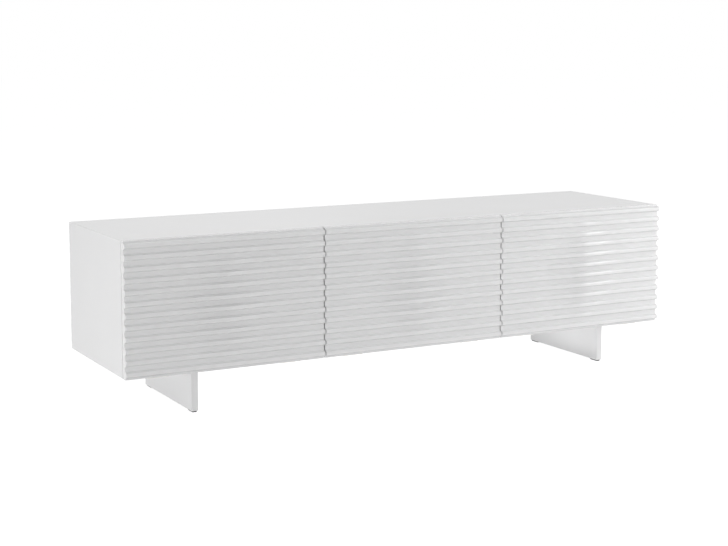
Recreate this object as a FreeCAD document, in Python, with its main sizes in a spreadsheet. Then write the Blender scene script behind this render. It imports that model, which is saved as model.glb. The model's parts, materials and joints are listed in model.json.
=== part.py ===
import FreeCAD, Part
import math
import os
import Sketcher

# TV stand with three ribbed flap doors, shelves, push latches and soft-down stays.
# Frame: +X along the length, -Y out of the doors, +Z up.
# Origin: on the floor, under the middle of the whole object. Millimetres.

SIZES = [
    # the case
    ("case_length", 2000.0, "outside length of the case"),
    ("case_depth", 502.0, "case depth without the doors"),
    ("case_height", 420.0, "outside height of the case"),
    ("board", 20.0, "thickness of top, bottom and sides"),
    ("divider_board", 18.0, "thickness of the two dividers"),
    ("back_board", 8.0, "thickness of the back panels"),
    ("back_inset", 12.0, "back panels sit this far inside the rear edges"),
    ("back_rebate", 10.0, "step of the rebate that takes the back panels"),
    ("back_fit", 0.5, "clearance round each back panel"),
    ("back_screw_inset", 30.0, "outer screws of a back panel from the walls of its bay"),
    ("outlet_radius", 30.0, "cable hole in a back panel"),
    ("outlet_height", 75.0, "cable hole above the inner floor"),
    ("grommet_wall", 3.0, "wall of the cable ring"),
    ("grommet_rim", 6.0, "rim of the cable ring beyond the hole"),
    ("grommet_rim_height", 2.5, "thickness of the rim"),
    ("grommet_fit", 0.2, "clearance of the ring in its hole"),
    # shelves
    ("shelf_board", 18.0, "thickness of a shelf"),
    ("shelf_stay_gap", 11.75, "underside of a shelf above the eyes of the closed stays"),
    ("shelf_setback", 33.0, "front edge of a shelf behind the front of the case"),
    ("shelf_fit", 1.0, "clearance at each end and at the back of a shelf"),
    ("pin_radius", 2.5, "shelf pin"),
    ("pin_fit", 0.05, "clearance of a pin in its hole"),
    ("pin_reach", 8.0, "length of a pin under the shelf"),
    ("pin_pitch", 32.0, "spacing of the rows of pin holes"),
    ("pin_front", 70.0, "front pins behind the front of the case"),
    ("pin_back", 50.0, "rear pins in front of the back panels"),
    # dowels
    ("dowel_radius", 4.0, "divider dowel"),
    ("dowel_fit", 0.05, "clearance of a dowel"),
    ("dowel_in_board", 12.0, "dowel length in the top or bottom"),
    ("dowel_in_divider", 20.0, "dowel length in the divider"),
    ("dowel_inset", 40.0, "outer dowels from the edges of the divider"),
    # wood screws of every fitting
    ("screw_radius", 1.5, "shank of a screw"),
    ("screw_fit", 0.05, "clearance of a shank"),
    ("screw_head_radius", 3.0, "head of a screw"),
    ("screw_head_height", 1.2, "height of a head"),
    ("screw_head_top", 2.1, "outer end of a head"),
    ("screw_length", 14.0, "length of a shank"),
    # holes
    ("hole_spare", 0.5, "blind holes are this much deeper than what they hold"),
    ("wall_web", 2.0, "wood left between holes on both sides of a divider"),
    ("past", 5.0, "a cutting tool runs this far past a face"),
    # legs
    ("leg_height", 130.0, "underside of the case above the floor, glides included"),
    ("leg_inset", 220.0, "outer face of a leg from the end of the case"),
    ("leg_board", 22.0, "thickness of a leg panel"),
    ("leg_depth", 411.0, "length of a leg panel from front to back"),
    ("leg_setback", 0.0, "front of a leg behind the front of the case"),
    ("glide_length", 40.0, "length of a glide"),
    ("glide_width", 15.0, "width of a glide"),
    ("glide_height", 4.0, "height of a glide"),
    ("glide_inset", 3.0, "glide from the end of the leg"),
    ("bolt_radius", 3.0, "leg bolt"),
    ("bolt_fit", 0.2, "clearance of a leg bolt"),
    ("bolt_head_radius", 6.0, "head of a leg bolt"),
    ("bolt_head_height", 4.0, "height of that head"),
    ("bolt_grip", 12.0, "bolt length inside the leg"),
    ("bolt_inset", 60.0, "outer bolts from the ends of a leg"),
    ("insert_radius", 5.0, "threaded insert in a leg"),
    ("insert_length", 14.0, "length of the insert"),
    ("insert_fit", 0.05, "clearance of the insert, and of its thread round the bolt"),
    # doors
    ("door_gap", 4.0, "gap between two doors"),
    ("door_gap_back", 3.0, "gap between a door and the case"),
    ("door_board", 20.0, "door thickness in the hollows"),
    ("rib_height", 12.0, "ribs stand this far out of the hollows"),
    ("rib_first", 4.5, "start of the first rib below the top of the door"),
    ("rib_pitch", 35.4, "spacing of the ribs"),
    ("rib_root", 2.0, "root of a rib inside the board"),
    ("rib_ledge", 4.0, "height of the sloping ledge on a rib"),
    ("rib_crown", 11.5, "height of the crown of a rib"),
    ("rib_under", 5.0, "height of the sloping underside of a rib"),
    ("rib_round", 0.8, "rise of the crown over its own edges"),
    ("dome_height", 8.0, "extra height of the ribs at the middle of a door"),
    ("dome_radius", 215.0, "reach of that swelling"),
    ("dome_top_radius", 25.0, "flat spot at its middle"),
    ("dome_root", 3.0, "root of the swelling inside the ribs"),
    ("swell_root", 4.0, "root of a swollen crown inside its rib"),
    ("swell_step", 0.9, "step on either side of a swollen crown"),
    ("swell_lean", 1.8, "lean of that step over its height"),
    # hinges
    ("hinge_length", 70.0, "length of a hinge"),
    ("hinge_end", 110.0, "middle of a hinge from the end of its door"),
    ("hinge_leaf", 1.2, "thickness of a leaf"),
    ("hinge_leaf_height", 17.0, "height of a leaf"),
    ("hinge_knuckle_radius", 3.0, "outside of a knuckle"),
    ("hinge_pin_radius", 1.5, "hinge pin"),
    ("hinge_pin_fit", 0.1, "clearance of the pin in its knuckles"),
    ("hinge_knuckle", 20.8, "length of an outer knuckle"),
    ("hinge_screw_end", 9.8, "outer screws of a hinge from its ends"),
    ("hinge_drop", 3.5, "hinge axis below the underside of the case"),
    ("hinge_rise", 0.5, "lower edge of a leaf above the underside of the case"),
    ("hinge_knuckle_gap", 0.4, "clearance between two knuckles"),
    # soft-down stays
    ("stay_radius", 220.0, "both stay pivots from the hinge axis"),
    ("stay_spread", 70.0, "angle between the two pivots with the door closed"),
    ("stay_offset", 12.0, "pivot on the door behind its back face"),
    ("stay_wall_gap", 14.0, "middle of a stay from the wall beside it"),
    ("stay_eye_radius", 8.0, "eye at either end of a stay"),
    ("stay_eye_width", 9.0, "width of an eye"),
    ("stay_side_gap", 0.4, "eye to the pieces on either side of it"),
    ("stay_stud_radius", 3.0, "pivot stud"),
    ("stay_stud_fit", 0.1, "clearance of a stud"),
    ("stay_stud_head", 1.5, "head of a stud, beyond the stud and in height"),
    ("stay_collar", 2.0, "collar of a stud beyond the stud"),
    ("stay_tube_radius", 8.0, "outside of the damper tube"),
    ("stay_tube_bore", 5.0, "bore of the damper tube"),
    ("stay_tube_start", 12.0, "closed end of the tube from its pivot"),
    ("stay_tube_floor", 5.0, "closed end of the tube"),
    ("stay_tube_gap", 30.4, "open end of the tube to the other pivot with the door closed"),
    ("stay_cap", 8.0, "end cap of the tube"),
    ("stay_rod_radius", 3.0, "piston rod"),
    ("stay_rod_eye_radius", 7.0, "eye of the piston rod"),
    ("stay_piston_gap", 3.4, "piston to the closed end of the tube with the door closed"),
    ("stay_rod_fit", 0.3, "clearance of rod and piston"),
    ("stay_piston", 6.0, "length of the piston"),
    ("bracket_plate", 3.0, "thickness of a stay bracket's plate"),
    ("bracket_width", 22.0, "width of a bracket's plate"),
    ("bracket_length", 44.0, "length of a bracket's plate"),
    ("bracket_ear", 4.0, "thickness of the ear on a door bracket"),
    ("bracket_ear_height", 18.0, "height of the ear"),
    ("bracket_ear_rim", 6.0, "ear beyond the axis of its stud"),
    ("bracket_screw", 16.0, "screws of a bracket from its middle"),
    # push latches
    ("latch_width", 14.0, "width of a latch housing"),
    ("latch_depth", 62.0, "length of a latch housing"),
    ("latch_height", 16.0, "height of a latch housing"),
    ("latch_setback", 4.0, "housing behind the front of the case"),
    ("latch_flange", 9.0, "screw flange on either side of the housing"),
    ("latch_flange_depth", 20.0, "length of the flange"),
    ("latch_flange_height", 2.5, "thickness of the flange"),
    ("plunger_radius", 4.0, "latch plunger"),
    ("plunger_fit", 0.3, "clearance of the plunger in its housing and at its strike"),
    ("plunger_length", 30.0, "length of the plunger"),
    ("plunger_bore", 38.0, "depth of the hole that it slides in"),
    ("strike_radius", 9.0, "strike plate on a door"),
    ("strike_height", 1.5, "thickness of the strike plate"),
    # bumpers
    ("bumper_radius", 3.0, "door bumper"),
    ("bumper_gap", 0.3, "door bumper to the back of its door"),
    ("bumper_drop", 45.0, "door bumper below the top of the case"),
    ("bumper_edge", 0.5, "door bumper from the edge of a divider"),
]

doc = FreeCAD.newDocument("tv_stand")
sheet = doc.addObject("Spreadsheet::Sheet", "sizes")
for line, (alias, value, note) in enumerate(SIZES, start=1):
    sheet.set("A%d" % line, note)
    sheet.set("B%d" % line, str(value))
    sheet.setAlias("B%d" % line, alias)
doc.recompute()

# ---------------------------------------------------------------- places, as expressions

OVERHANG = "(sizes.door_gap_back + sizes.door_board + sizes.rib_height + sizes.dome_height)"
X_END = "(sizes.case_length / 2)"
X_WALL = f"({X_END} - sizes.board)"
Y_REAR = f"((sizes.case_depth + {OVERHANG}) / 2)"
Y_CASE = f"({Y_REAR} - sizes.case_depth)"
Y_DOOR = f"({Y_CASE} - sizes.door_gap_back)"
Y_HOLLOW = f"({Y_DOOR} - sizes.door_board)"
Y_INNER = f"({Y_REAR} - sizes.back_inset - sizes.back_board)"
Z_CASE = "sizes.leg_height"
Z_TOP = "(sizes.leg_height + sizes.case_height)"
Z_FLOOR = "(sizes.leg_height + sizes.board)"
Z_CEILING = f"({Z_TOP} - sizes.board)"
DOOR_WIDTH = "((sizes.case_length - 2 * sizes.door_gap) / 3)"
X_DIVIDER = "((sizes.case_length + sizes.door_gap) / 6)"
HALF_DIVIDER = "(sizes.divider_board / 2)"
X_BAY_WALL = f"({X_DIVIDER} + {HALF_DIVIDER})"
X_BAY_MIDDLE = f"(({X_WALL} + {X_BAY_WALL}) / 2)"

# hinge axis of every door
Y_AXIS = f"({Y_CASE} - sizes.door_gap_back / 2)"
Z_AXIS = f"({Z_CASE} - sizes.hinge_drop)"

# stays: both pivots lie on one circle round the hinge axis
STAY_Y = "(sizes.stay_offset - sizes.door_gap_back / 2)"
ROD_ANGLE = f"acos({STAY_Y} / sizes.stay_radius)"
TUBE_ANGLE = f"({ROD_ANGLE} - sizes.stay_spread * 1 deg)"
STAY_TILT = f"({ROD_ANGLE} - sizes.stay_spread * 1 deg / 2)"
Y_TUBE = f"({Y_AXIS} + sizes.stay_radius * cos({TUBE_ANGLE}))"
Z_TUBE = f"({Z_AXIS} + sizes.stay_radius * sin({TUBE_ANGLE}))"
Y_ROD = f"({Y_AXIS} + {STAY_Y})"
Z_ROD = f"({Z_AXIS} + sizes.stay_radius * sin({ROD_ANGLE}))"
STAY_LENGTH = "(2 * sizes.stay_radius * sin(sizes.stay_spread * 1 deg / 2))"
TUBE_END = f"({STAY_LENGTH} - sizes.stay_tube_gap)"
PISTON_END = "(sizes.stay_tube_start + sizes.stay_tube_floor + sizes.stay_piston_gap)"

BAYS = ("left", "center", "right")
DOOR_START = {
    "left": f"(-{X_END})",
    "center": f"(-{DOOR_WIDTH} / 2)",
    "right": f"({X_END} - {DOOR_WIDTH})",
}
BAY_LOW = {
    "left": f"(-{X_WALL})",
    "center": f"(-({X_DIVIDER} - {HALF_DIVIDER}))",
    "right": X_BAY_WALL,
}
BAY_HIGH = {
    "left": f"(-{X_BAY_WALL})",
    "center": f"({X_DIVIDER} - {HALF_DIVIDER})",
    "right": X_WALL,
}
BAY_MIDDLE = {
    "left": f"(-{X_BAY_MIDDLE})",
    "center": "0",
    "right": X_BAY_MIDDLE,
}

# ---------------------------------------------------------------- small helpers

ALONG = {
    "+X": FreeCAD.Rotation(FreeCAD.Vector(0, 1, 0), 90),
    "-X": FreeCAD.Rotation(FreeCAD.Vector(0, 1, 0), -90),
    "+Y": FreeCAD.Rotation(FreeCAD.Vector(1, 0, 0), -90),
    "-Y": FreeCAD.Rotation(FreeCAD.Vector(1, 0, 0), 90),
    "+Z": FreeCAD.Rotation(),
    "-Z": FreeCAD.Rotation(FreeCAD.Vector(1, 0, 0), 180),
}
NODES = []


def put(item, spot, turn=None):
    item.Placement = FreeCAD.Placement(FreeCAD.Vector(0, 0, 0), turn or FreeCAD.Rotation())
    for axis, text in zip("xyz", spot):
        item.setExpression("Placement.Base." + axis, text)
    return item


def box(spot, size):
    item = put(doc.addObject("Part::Box", "block"), spot)
    for prop, text in zip(("Length", "Width", "Height"), size):
        item.setExpression(prop, text)
    return item


def cylinder(radius, length, spot, along):
    item = put(doc.addObject("Part::Cylinder", "round"), spot, ALONG[along])
    item.setExpression("Radius", radius)
    item.setExpression("Height", length)
    return item


def cone(radius, end_radius, length, spot, along):
    item = put(doc.addObject("Part::Cone", "taper"), spot, ALONG[along])
    item.setExpression("Radius1", radius)
    item.setExpression("Radius2", end_radius)
    item.setExpression("Height", length)
    return item


def fuse(items):
    item = doc.addObject("Part::MultiFuse", "joined")
    item.Shapes = items
    return item


def cut(base, tools):
    if not tools:
        return base
    item = doc.addObject("Part::Cut", "shaped")
    item.Base = base
    item.Tool = tools[0] if len(tools) == 1 else fuse(tools)
    return item


def common(first, second):
    item = doc.addObject("Part::Common", "shared")
    item.Base = first
    item.Tool = second
    return item


def group(items):
    item = doc.addObject("Part::Compound", "set")
    item.Links = items
    return item


def node(label, item):
    item.Label = label
    NODES.append(item)
    return item


def raised_screw(spot, along, back, length="sizes.screw_length"):
    """Screw whose head's underside is at spot, its shank along, its head towards back."""
    head = cone("sizes.screw_head_radius", "sizes.screw_head_top", "sizes.screw_head_height",
                spot, back)
    shank = cylinder("sizes.screw_radius", length, spot, along)
    return fuse([head, shank])


def flush_screw(spot, along):
    """Countersunk screw whose head fills the thickness of a hinge leaf."""
    head = cone("sizes.screw_head_radius", "sizes.screw_radius", "sizes.hinge_leaf", spot, along)
    shank = cylinder("sizes.screw_radius", "sizes.screw_length", spot, along)
    return fuse([head, shank])


def countersink(spot, along):
    return cone("sizes.screw_head_radius + sizes.screw_fit",
                "sizes.screw_radius + sizes.screw_fit", "sizes.hinge_leaf", spot, along)


def screw_hole(length, spot, along):
    return cylinder("sizes.screw_radius + sizes.screw_fit", length, spot, along)


def pilot(spot, along):
    return screw_hole("sizes.screw_length + sizes.hole_spare", spot, along)


# ---------------------------------------------------------------- screw and dowel places

DOWEL_Y = [
    f"({Y_CASE} + sizes.dowel_inset)",
    f"(({Y_CASE} + {Y_INNER}) / 2)",
    f"({Y_INNER} - sizes.dowel_inset)",
]
PIN_Y = [
    f"({Y_CASE} + sizes.pin_front)",
    f"({Y_INNER} - sizes.pin_back)",
]
Z_SHELF = f"({Z_ROD} + sizes.stay_rod_eye_radius + sizes.shelf_stay_gap)"
Z_PIN = f"({Z_SHELF} - sizes.pin_radius)"
PIN_ROWS = (-2, -1, 0, 1, 2)
# deepest hole that leaves the web of a divider standing between its two sides
WALL_HOLE = "((sizes.divider_board - sizes.wall_web) / 2)"
IN_WALL = f"({WALL_HOLE} - sizes.hole_spare)"
X_LEG = f"({X_END} - sizes.leg_inset - sizes.leg_board / 2)"
Y_LEG = f"({Y_CASE} + sizes.leg_setback)"
BOLT_Y = [
    f"({Y_LEG} + sizes.bolt_inset)",
    f"({Y_LEG} + sizes.leg_depth / 2)",
    f"({Y_LEG} + sizes.leg_depth - sizes.bolt_inset)",
]
X_HINGES = {
    bay: (f"({DOOR_START[bay]} + sizes.hinge_end)",
          f"({DOOR_START[bay]} + {DOOR_WIDTH} - sizes.hinge_end)")
    for bay in BAYS
}
HINGE_SCREW_X = (
    "(sizes.hinge_screw_end - sizes.hinge_length / 2)",
    "0",
    "(sizes.hinge_length / 2 - sizes.hinge_screw_end)",
)
Z_LEAF = f"({Z_CASE} + sizes.hinge_rise)"
Z_HINGE_SCREW = f"({Z_LEAF} + sizes.hinge_leaf_height / 2)"
# each stay: the wall that it runs beside, and the way into the bay
STAYS = {
    bay: ((BAY_LOW[bay], 1), (BAY_HIGH[bay], -1))
    for bay in BAYS
}
BACK_SCREW_Z = [
    f"({Z_CEILING} + sizes.back_rebate / 2)",
    f"({Z_FLOOR} - sizes.back_rebate / 2)",
]
Y_BACK_FACE = f"({Y_REAR} - sizes.back_inset)"
BACK_SCREW_X = {
    bay: (f"({BAY_LOW[bay]} + sizes.back_screw_inset)",
          BAY_MIDDLE[bay],
          f"({BAY_HIGH[bay]} - sizes.back_screw_inset)")
    for bay in BAYS
}
LATCH_SCREW_X = "(sizes.latch_width / 2 + sizes.latch_flange / 2)"
Y_LATCH = f"({Y_CASE} + sizes.latch_setback)"
Y_LATCH_SCREW = f"({Y_LATCH} + sizes.latch_depth / 2)"
Z_LATCH = f"({Z_CEILING} - sizes.latch_height)"
Z_PLUNGER = f"({Z_CEILING} - sizes.latch_height / 2)"

# ---------------------------------------------------------------- the four outer boards


def rebate():
    return box((f"-({X_WALL} + sizes.back_rebate)", Y_INNER, f"{Z_FLOOR} - sizes.back_rebate"),
               (f"2 * ({X_WALL} + sizes.back_rebate)",
                "sizes.back_inset + sizes.back_board + sizes.past",
                "sizes.case_height - 2 * sizes.board + 2 * sizes.back_rebate"))


def mitred(turn, spot, low, high):
    """Board along local X, thickness along local Y, with both ends cut at 45 degrees."""
    item = put(doc.addObject("Part::Wedge", "mitred"), spot, turn)
    limits = {
        "Xmin": low[0], "Xmax": low[1], "X2min": high[0], "X2max": high[1],
        "Ymin": "0", "Ymax": "sizes.board",
        "Zmin": "0", "Zmax": "sizes.case_depth",
        "Z2min": "0", "Z2max": "sizes.case_depth",
    }
    for prop, text in limits.items():
        item.setExpression(prop, text)
    return item


LYING = FreeCAD.Rotation(FreeCAD.Vector(1, 0, 0), 90)
UPRIGHT = FreeCAD.Rotation(FreeCAD.Vector(1, 1, 1), -120)
WIDE = (f"-{X_END}", X_END)
NARROW = (f"-{X_WALL}", X_WALL)
TALL = ("0", "sizes.case_height")
SHORT = ("sizes.board", "sizes.case_height - sizes.board")

top_tools = [rebate()]
bottom_tools = [rebate()]
for side in ("-", ""):
    for y in DOWEL_Y:
        for tools, spot, along in (
            (top_tools, (f"{side}{X_DIVIDER}", y, Z_CEILING), "+Z"),
            (bottom_tools, (f"{side}{X_DIVIDER}", y, Z_FLOOR), "-Z"),
        ):
            tools.append(cylinder("sizes.dowel_radius + sizes.dowel_fit",
                                  "sizes.dowel_in_board + sizes.hole_spare", spot, along))
    for y in BOLT_Y:
        spot = (f"{side}{X_LEG}", y, Z_FLOOR)
        bottom_tools.append(fuse([
            cylinder("sizes.bolt_radius + sizes.bolt_fit", "sizes.board", spot, "-Z"),
            cylinder("sizes.bolt_head_radius + sizes.bolt_fit",
                     "sizes.bolt_head_height + sizes.bolt_fit", spot, "-Z"),
        ]))
for bay in BAYS:
    for x in BACK_SCREW_X[bay]:
        top_tools.append(pilot((x, Y_BACK_FACE, BACK_SCREW_Z[0]), "-Y"))
        bottom_tools.append(pilot((x, Y_BACK_FACE, BACK_SCREW_Z[1]), "-Y"))
    for x in X_HINGES[bay]:
        for step in HINGE_SCREW_X:
            bottom_tools.append(pilot((f"{x} + {step}", f"{Y_CASE} - sizes.hinge_leaf",
                                       Z_HINGE_SCREW), "+Y"))
    for side in ("-", "+"):
        top_tools.append(pilot((f"{BAY_MIDDLE[bay]} {side} {LATCH_SCREW_X}", Y_LATCH_SCREW,
                                f"{Z_CEILING} - sizes.latch_flange_height"), "+Z"))

node("top_panel", cut(mitred(LYING, ("0", Y_REAR, Z_CEILING), NARROW, WIDE), top_tools))
node("bottom_panel", cut(mitred(LYING, ("0", Y_REAR, Z_CASE), WIDE, NARROW), bottom_tools))


def pin_holes(wall, along):
    holes = []
    for y in PIN_Y:
        for row in PIN_ROWS:
            z = f"{Z_PIN} + ({row}) * sizes.pin_pitch"
            holes.append(cylinder("sizes.pin_radius + sizes.pin_fit",
                                  WALL_HOLE, (wall, y, z), along))
    return holes


def bracket_pilots(wall, along):
    """Screw holes of the stay bracket on one wall of a bay."""
    into = "-" if along == "+X" else "+"
    holes = []
    for step in ("-", "+"):
        spot = (f"{wall} {into} sizes.bracket_plate", Y_TUBE,
                f"{Z_TUBE} {step} sizes.bracket_screw")
        holes.append(screw_hole(f"sizes.bracket_plate + {WALL_HOLE}", spot, along))
    return holes


left_tools = [rebate()] + pin_holes(f"-{X_WALL}", "-X") + bracket_pilots(f"-{X_WALL}", "-X")
right_tools = [rebate()] + pin_holes(X_WALL, "+X") + bracket_pilots(X_WALL, "+X")
node("side_panel_left",
     cut(mitred(UPRIGHT, (f"-{X_END}", Y_CASE, Z_CASE), TALL, SHORT), left_tools))
node("side_panel_right",
     cut(mitred(UPRIGHT, (X_WALL, Y_CASE, Z_CASE), SHORT, TALL), right_tools))

# ---------------------------------------------------------------- dividers and their dowels

dowels = []
for label, side in (("divider_left", "-"), ("divider_right", "")):
    x = f"{side}{X_DIVIDER}"
    board = box((f"{x} - {HALF_DIVIDER}", Y_CASE, Z_FLOOR),
                ("sizes.divider_board", "sizes.case_depth - sizes.back_inset - sizes.back_board",
                 "sizes.case_height - 2 * sizes.board"))
    tools = []
    for y in DOWEL_Y:
        for z, along, sign in ((Z_CEILING, "-Z", "+"), (Z_FLOOR, "+Z", "-")):
            tools.append(cylinder("sizes.dowel_radius + sizes.dowel_fit",
                                  "sizes.dowel_in_divider + sizes.hole_spare", (x, y, z), along))
            dowels.append(cylinder("sizes.dowel_radius",
                                   "sizes.dowel_in_board + sizes.dowel_in_divider",
                                   (x, y, f"{z} {sign} sizes.dowel_in_board"), along))
    for wall, along in ((f"({x} - {HALF_DIVIDER})", "+X"), (f"({x} + {HALF_DIVIDER})", "-X")):
        tools += pin_holes(wall, along)
        tools += bracket_pilots(wall, along)
    node(label, cut(board, tools))
node("divider_dowels", group(dowels))

# ---------------------------------------------------------------- back panels, rings, screws

rings = []
back_screws = []
EDGE = {
    "left": (f"(-({X_WALL} + sizes.back_rebate) + sizes.back_fit)",
             f"(-{X_DIVIDER} - sizes.back_fit / 2)"),
    "center": (f"(-{X_DIVIDER} + sizes.back_fit / 2)", f"({X_DIVIDER} - sizes.back_fit / 2)"),
    "right": (f"({X_DIVIDER} + sizes.back_fit / 2)",
              f"({X_WALL} + sizes.back_rebate - sizes.back_fit)"),
}
Z_OUTLET = f"({Z_FLOOR} + sizes.outlet_height)"
for bay in BAYS:
    low, high = EDGE[bay]
    board = box((low, Y_INNER, f"{Z_FLOOR} - sizes.back_rebate + sizes.back_fit"),
                (f"{high} - {low}", "sizes.back_board",
                 "sizes.case_height - 2 * sizes.board + 2 * sizes.back_rebate"
                 " - 2 * sizes.back_fit"))
    middle = BAY_MIDDLE[bay]
    tools = [cylinder("sizes.outlet_radius", "sizes.back_board", (middle, Y_BACK_FACE, Z_OUTLET),
                      "-Y")]
    for x in BACK_SCREW_X[bay]:
        for z in BACK_SCREW_Z:
            tools.append(pilot((x, Y_BACK_FACE, z), "-Y"))
            back_screws.append(raised_screw((x, Y_BACK_FACE, z), "-Y", "+Y"))
    node("back_panel_" + bay, cut(board, tools))
    rim = cylinder("sizes.outlet_radius + sizes.grommet_rim", "sizes.grommet_rim_height",
                   (middle, Y_BACK_FACE, Z_OUTLET), "+Y")
    sleeve = cylinder("sizes.outlet_radius - sizes.grommet_fit", "sizes.back_board",
                      (middle, Y_BACK_FACE, Z_OUTLET), "-Y")
    hole = cylinder("sizes.outlet_radius - sizes.grommet_fit - sizes.grommet_wall",
                    "sizes.back_board + sizes.grommet_rim_height + 2 * sizes.past",
                    (middle, f"{Y_BACK_FACE} + sizes.grommet_rim_height + sizes.past", Z_OUTLET),
                    "-Y")
    rings.append(cut(fuse([rim, sleeve]), [hole]))
node("cable_grommets", group(rings))
node("back_screws", group(back_screws))

# ---------------------------------------------------------------- shelves and their pins

pins = []
for bay in BAYS:
    low, high = BAY_LOW[bay], BAY_HIGH[bay]
    node("shelf_" + bay,
         box((f"{low} + sizes.shelf_fit", f"{Y_CASE} + sizes.shelf_setback", Z_SHELF),
             (f"{high} - {low} - 2 * sizes.shelf_fit",
              "sizes.case_depth - sizes.back_inset - sizes.back_board - sizes.shelf_setback"
              " - sizes.shelf_fit",
              "sizes.shelf_board")))
    for wall, along, sign in ((low, "+X", "-"), (high, "-X", "+")):
        for y in PIN_Y:
            pins.append(cylinder("sizes.pin_radius", f"{IN_WALL} + sizes.pin_reach",
                                 (f"{wall} {sign} {IN_WALL}", y, Z_PIN), along))
node("shelf_pins", group(pins))

# ---------------------------------------------------------------- legs

bolts = []
inserts = []
glides = []
for label, side in (("leg_left", "-"), ("leg_right", "")):
    x = f"{side}{X_LEG}"
    board = box((f"{x} - sizes.leg_board / 2", Y_LEG, "sizes.glide_height"),
                ("sizes.leg_board", "sizes.leg_depth", "sizes.leg_height - sizes.glide_height"))
    tools = []
    for y in BOLT_Y:
        tools.append(cylinder("sizes.insert_radius + sizes.insert_fit",
                              "sizes.insert_length + sizes.hole_spare", (x, y, Z_CASE), "-Z"))
        inserts.append(cut(
            cylinder("sizes.insert_radius", "sizes.insert_length", (x, y, Z_CASE), "-Z"),
            [cylinder("sizes.bolt_radius + sizes.insert_fit", "sizes.insert_length",
                      (x, y, Z_CASE), "-Z")]))
        head_z = f"{Z_FLOOR} - sizes.bolt_head_height"
        bolts.append(fuse([
            cylinder("sizes.bolt_head_radius", "sizes.bolt_head_height", (x, y, head_z), "+Z"),
            cylinder("sizes.bolt_radius",
                     "sizes.board - sizes.bolt_head_height + sizes.bolt_grip",
                     (x, y, head_z), "-Z")]))
    for low in (f"{Y_LEG} + sizes.glide_inset",
                f"{Y_LEG} + sizes.leg_depth - sizes.glide_inset - sizes.glide_length"):
        pad = box((f"{x} - sizes.glide_width / 2", low, "0"),
                  ("sizes.glide_width", "sizes.glide_length", "sizes.glide_height"))
        nail_spot = (x, f"{low} + sizes.glide_length / 2", "sizes.glide_height")
        nail = cylinder("sizes.screw_radius", "sizes.screw_length", nail_spot, "+Z")
        glides.append(fuse([pad, nail]))
        tools.append(pilot(nail_spot, "+Z"))
    node(label, cut(board, tools))
node("leg_bolts", group(bolts))
node("leg_inserts", group(inserts))
node("leg_glides", group(glides))

# ---------------------------------------------------------------- door panels


def role(body, name):
    return [item for item in body.Origin.OriginFeatures if item.Role == name][0]


def profile(body, name, corners):
    """Closed sketch across the door: x is out of the hollow plane towards the case, y is up."""
    sketch = body.newObject("Sketcher::SketchObject", name)
    sketch.AttachmentSupport = [(role(body, "YZ_Plane"), "")]
    sketch.MapMode = "FlatFace"
    count = len(corners)
    # a ring of points to start from: the dimensions then pull each corner into its place
    ring = [FreeCAD.Vector(math.cos(2 * math.pi * i / count), math.sin(2 * math.pi * i / count), 0)
            for i in range(count)]
    for i in range(count):
        sketch.addGeometry(Part.LineSegment(ring[i], ring[(i + 1) % count]), False)
    for i in range(count):
        sketch.addConstraint(Sketcher.Constraint("Coincident", i, 2, (i + 1) % count, 1))
    for i, place in enumerate(corners):
        for kind, start, text in zip(("DistanceX", "DistanceY"), ring[i], place):
            dimension = sketch.addConstraint(Sketcher.Constraint(kind, -1, 1, i, 1, start))
            title = "%s%d" % (kind, i)
            sketch.renameConstraint(dimension, title)
            sketch.setExpression("Constraints." + title, text)
    return sketch


# one rib from its ledge down: x grows towards the case, y is minus the depth below the door's top
LEDGE_END = "(sizes.rib_first + sizes.rib_ledge)"
CROWN_END = f"({LEDGE_END} + sizes.rib_crown)"
UNDER_END = f"({CROWN_END} + sizes.rib_under)"
RIB_EDGE = "-(sizes.rib_height - sizes.rib_round)"
RIB = [
    ("sizes.rib_root", "-sizes.rib_first"),
    ("0", "-sizes.rib_first"),
    (RIB_EDGE, f"-{LEDGE_END}"),
    ("-sizes.rib_height", f"-({LEDGE_END} + {CROWN_END}) / 2"),
    (RIB_EDGE, f"-{CROWN_END}"),
    ("0", f"-{UNDER_END}"),
    ("sizes.rib_root", f"-{UNDER_END}"),
]
# as many whole ribs as the door's height takes
RIB_COUNT = f"(floor((sizes.case_height - {UNDER_END}) / sizes.rib_pitch) + 1)"
# the swelling's slice through one rib, every rib but the first and the last
SWELL_IN = "-(sizes.rib_height - sizes.swell_root)"
SWELL_OUT = "-(sizes.rib_height + sizes.dome_height + sizes.past)"
SWELL_BASE = "(sizes.rib_pitch + sizes.swell_step)"
SWELL_TIP = f"({SWELL_BASE} + sizes.swell_lean)"
SWELL = [
    (SWELL_IN, f"-({LEDGE_END} + {SWELL_BASE})"),
    (SWELL_OUT, f"-({LEDGE_END} + {SWELL_TIP})"),
    (SWELL_OUT, f"-({CROWN_END} + 2 * sizes.rib_pitch - {SWELL_TIP})"),
    (SWELL_IN, f"-({CROWN_END} + 2 * sizes.rib_pitch - {SWELL_BASE})"),
]
SWELL_COUNT = f"({RIB_COUNT} - 2)"
SLAB = [
    ("0", "0"),
    ("sizes.door_board", "0"),
    ("sizes.door_board", "-sizes.case_height"),
    ("0", "-sizes.case_height"),
]


def padded(body, name, corners):
    pad = body.newObject("PartDesign::Pad", name + "_pad")
    pad.Profile = profile(body, name, corners)
    pad.setExpression("Length", DOOR_WIDTH)
    return pad


def patterned(name, corners, count, slab):
    """Body with an optional slab and a column of equal ribs across the door's width."""
    body = doc.addObject("PartDesign::Body", name)
    if slab:
        padded(body, name + "_slab", slab)
    rib = padded(body, name + "_rib", corners)
    doc.recompute()
    column = body.newObject("PartDesign::LinearPattern", name + "_column")
    column.Originals = [rib]
    column.Direction = (role(body, "Z_Axis"), [""])
    column.Reversed = True
    column.setExpression("Length", f"sizes.rib_pitch * ({count} - 1)")
    column.setExpression("Occurrences", count)
    body.Tip = column
    return body


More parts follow.
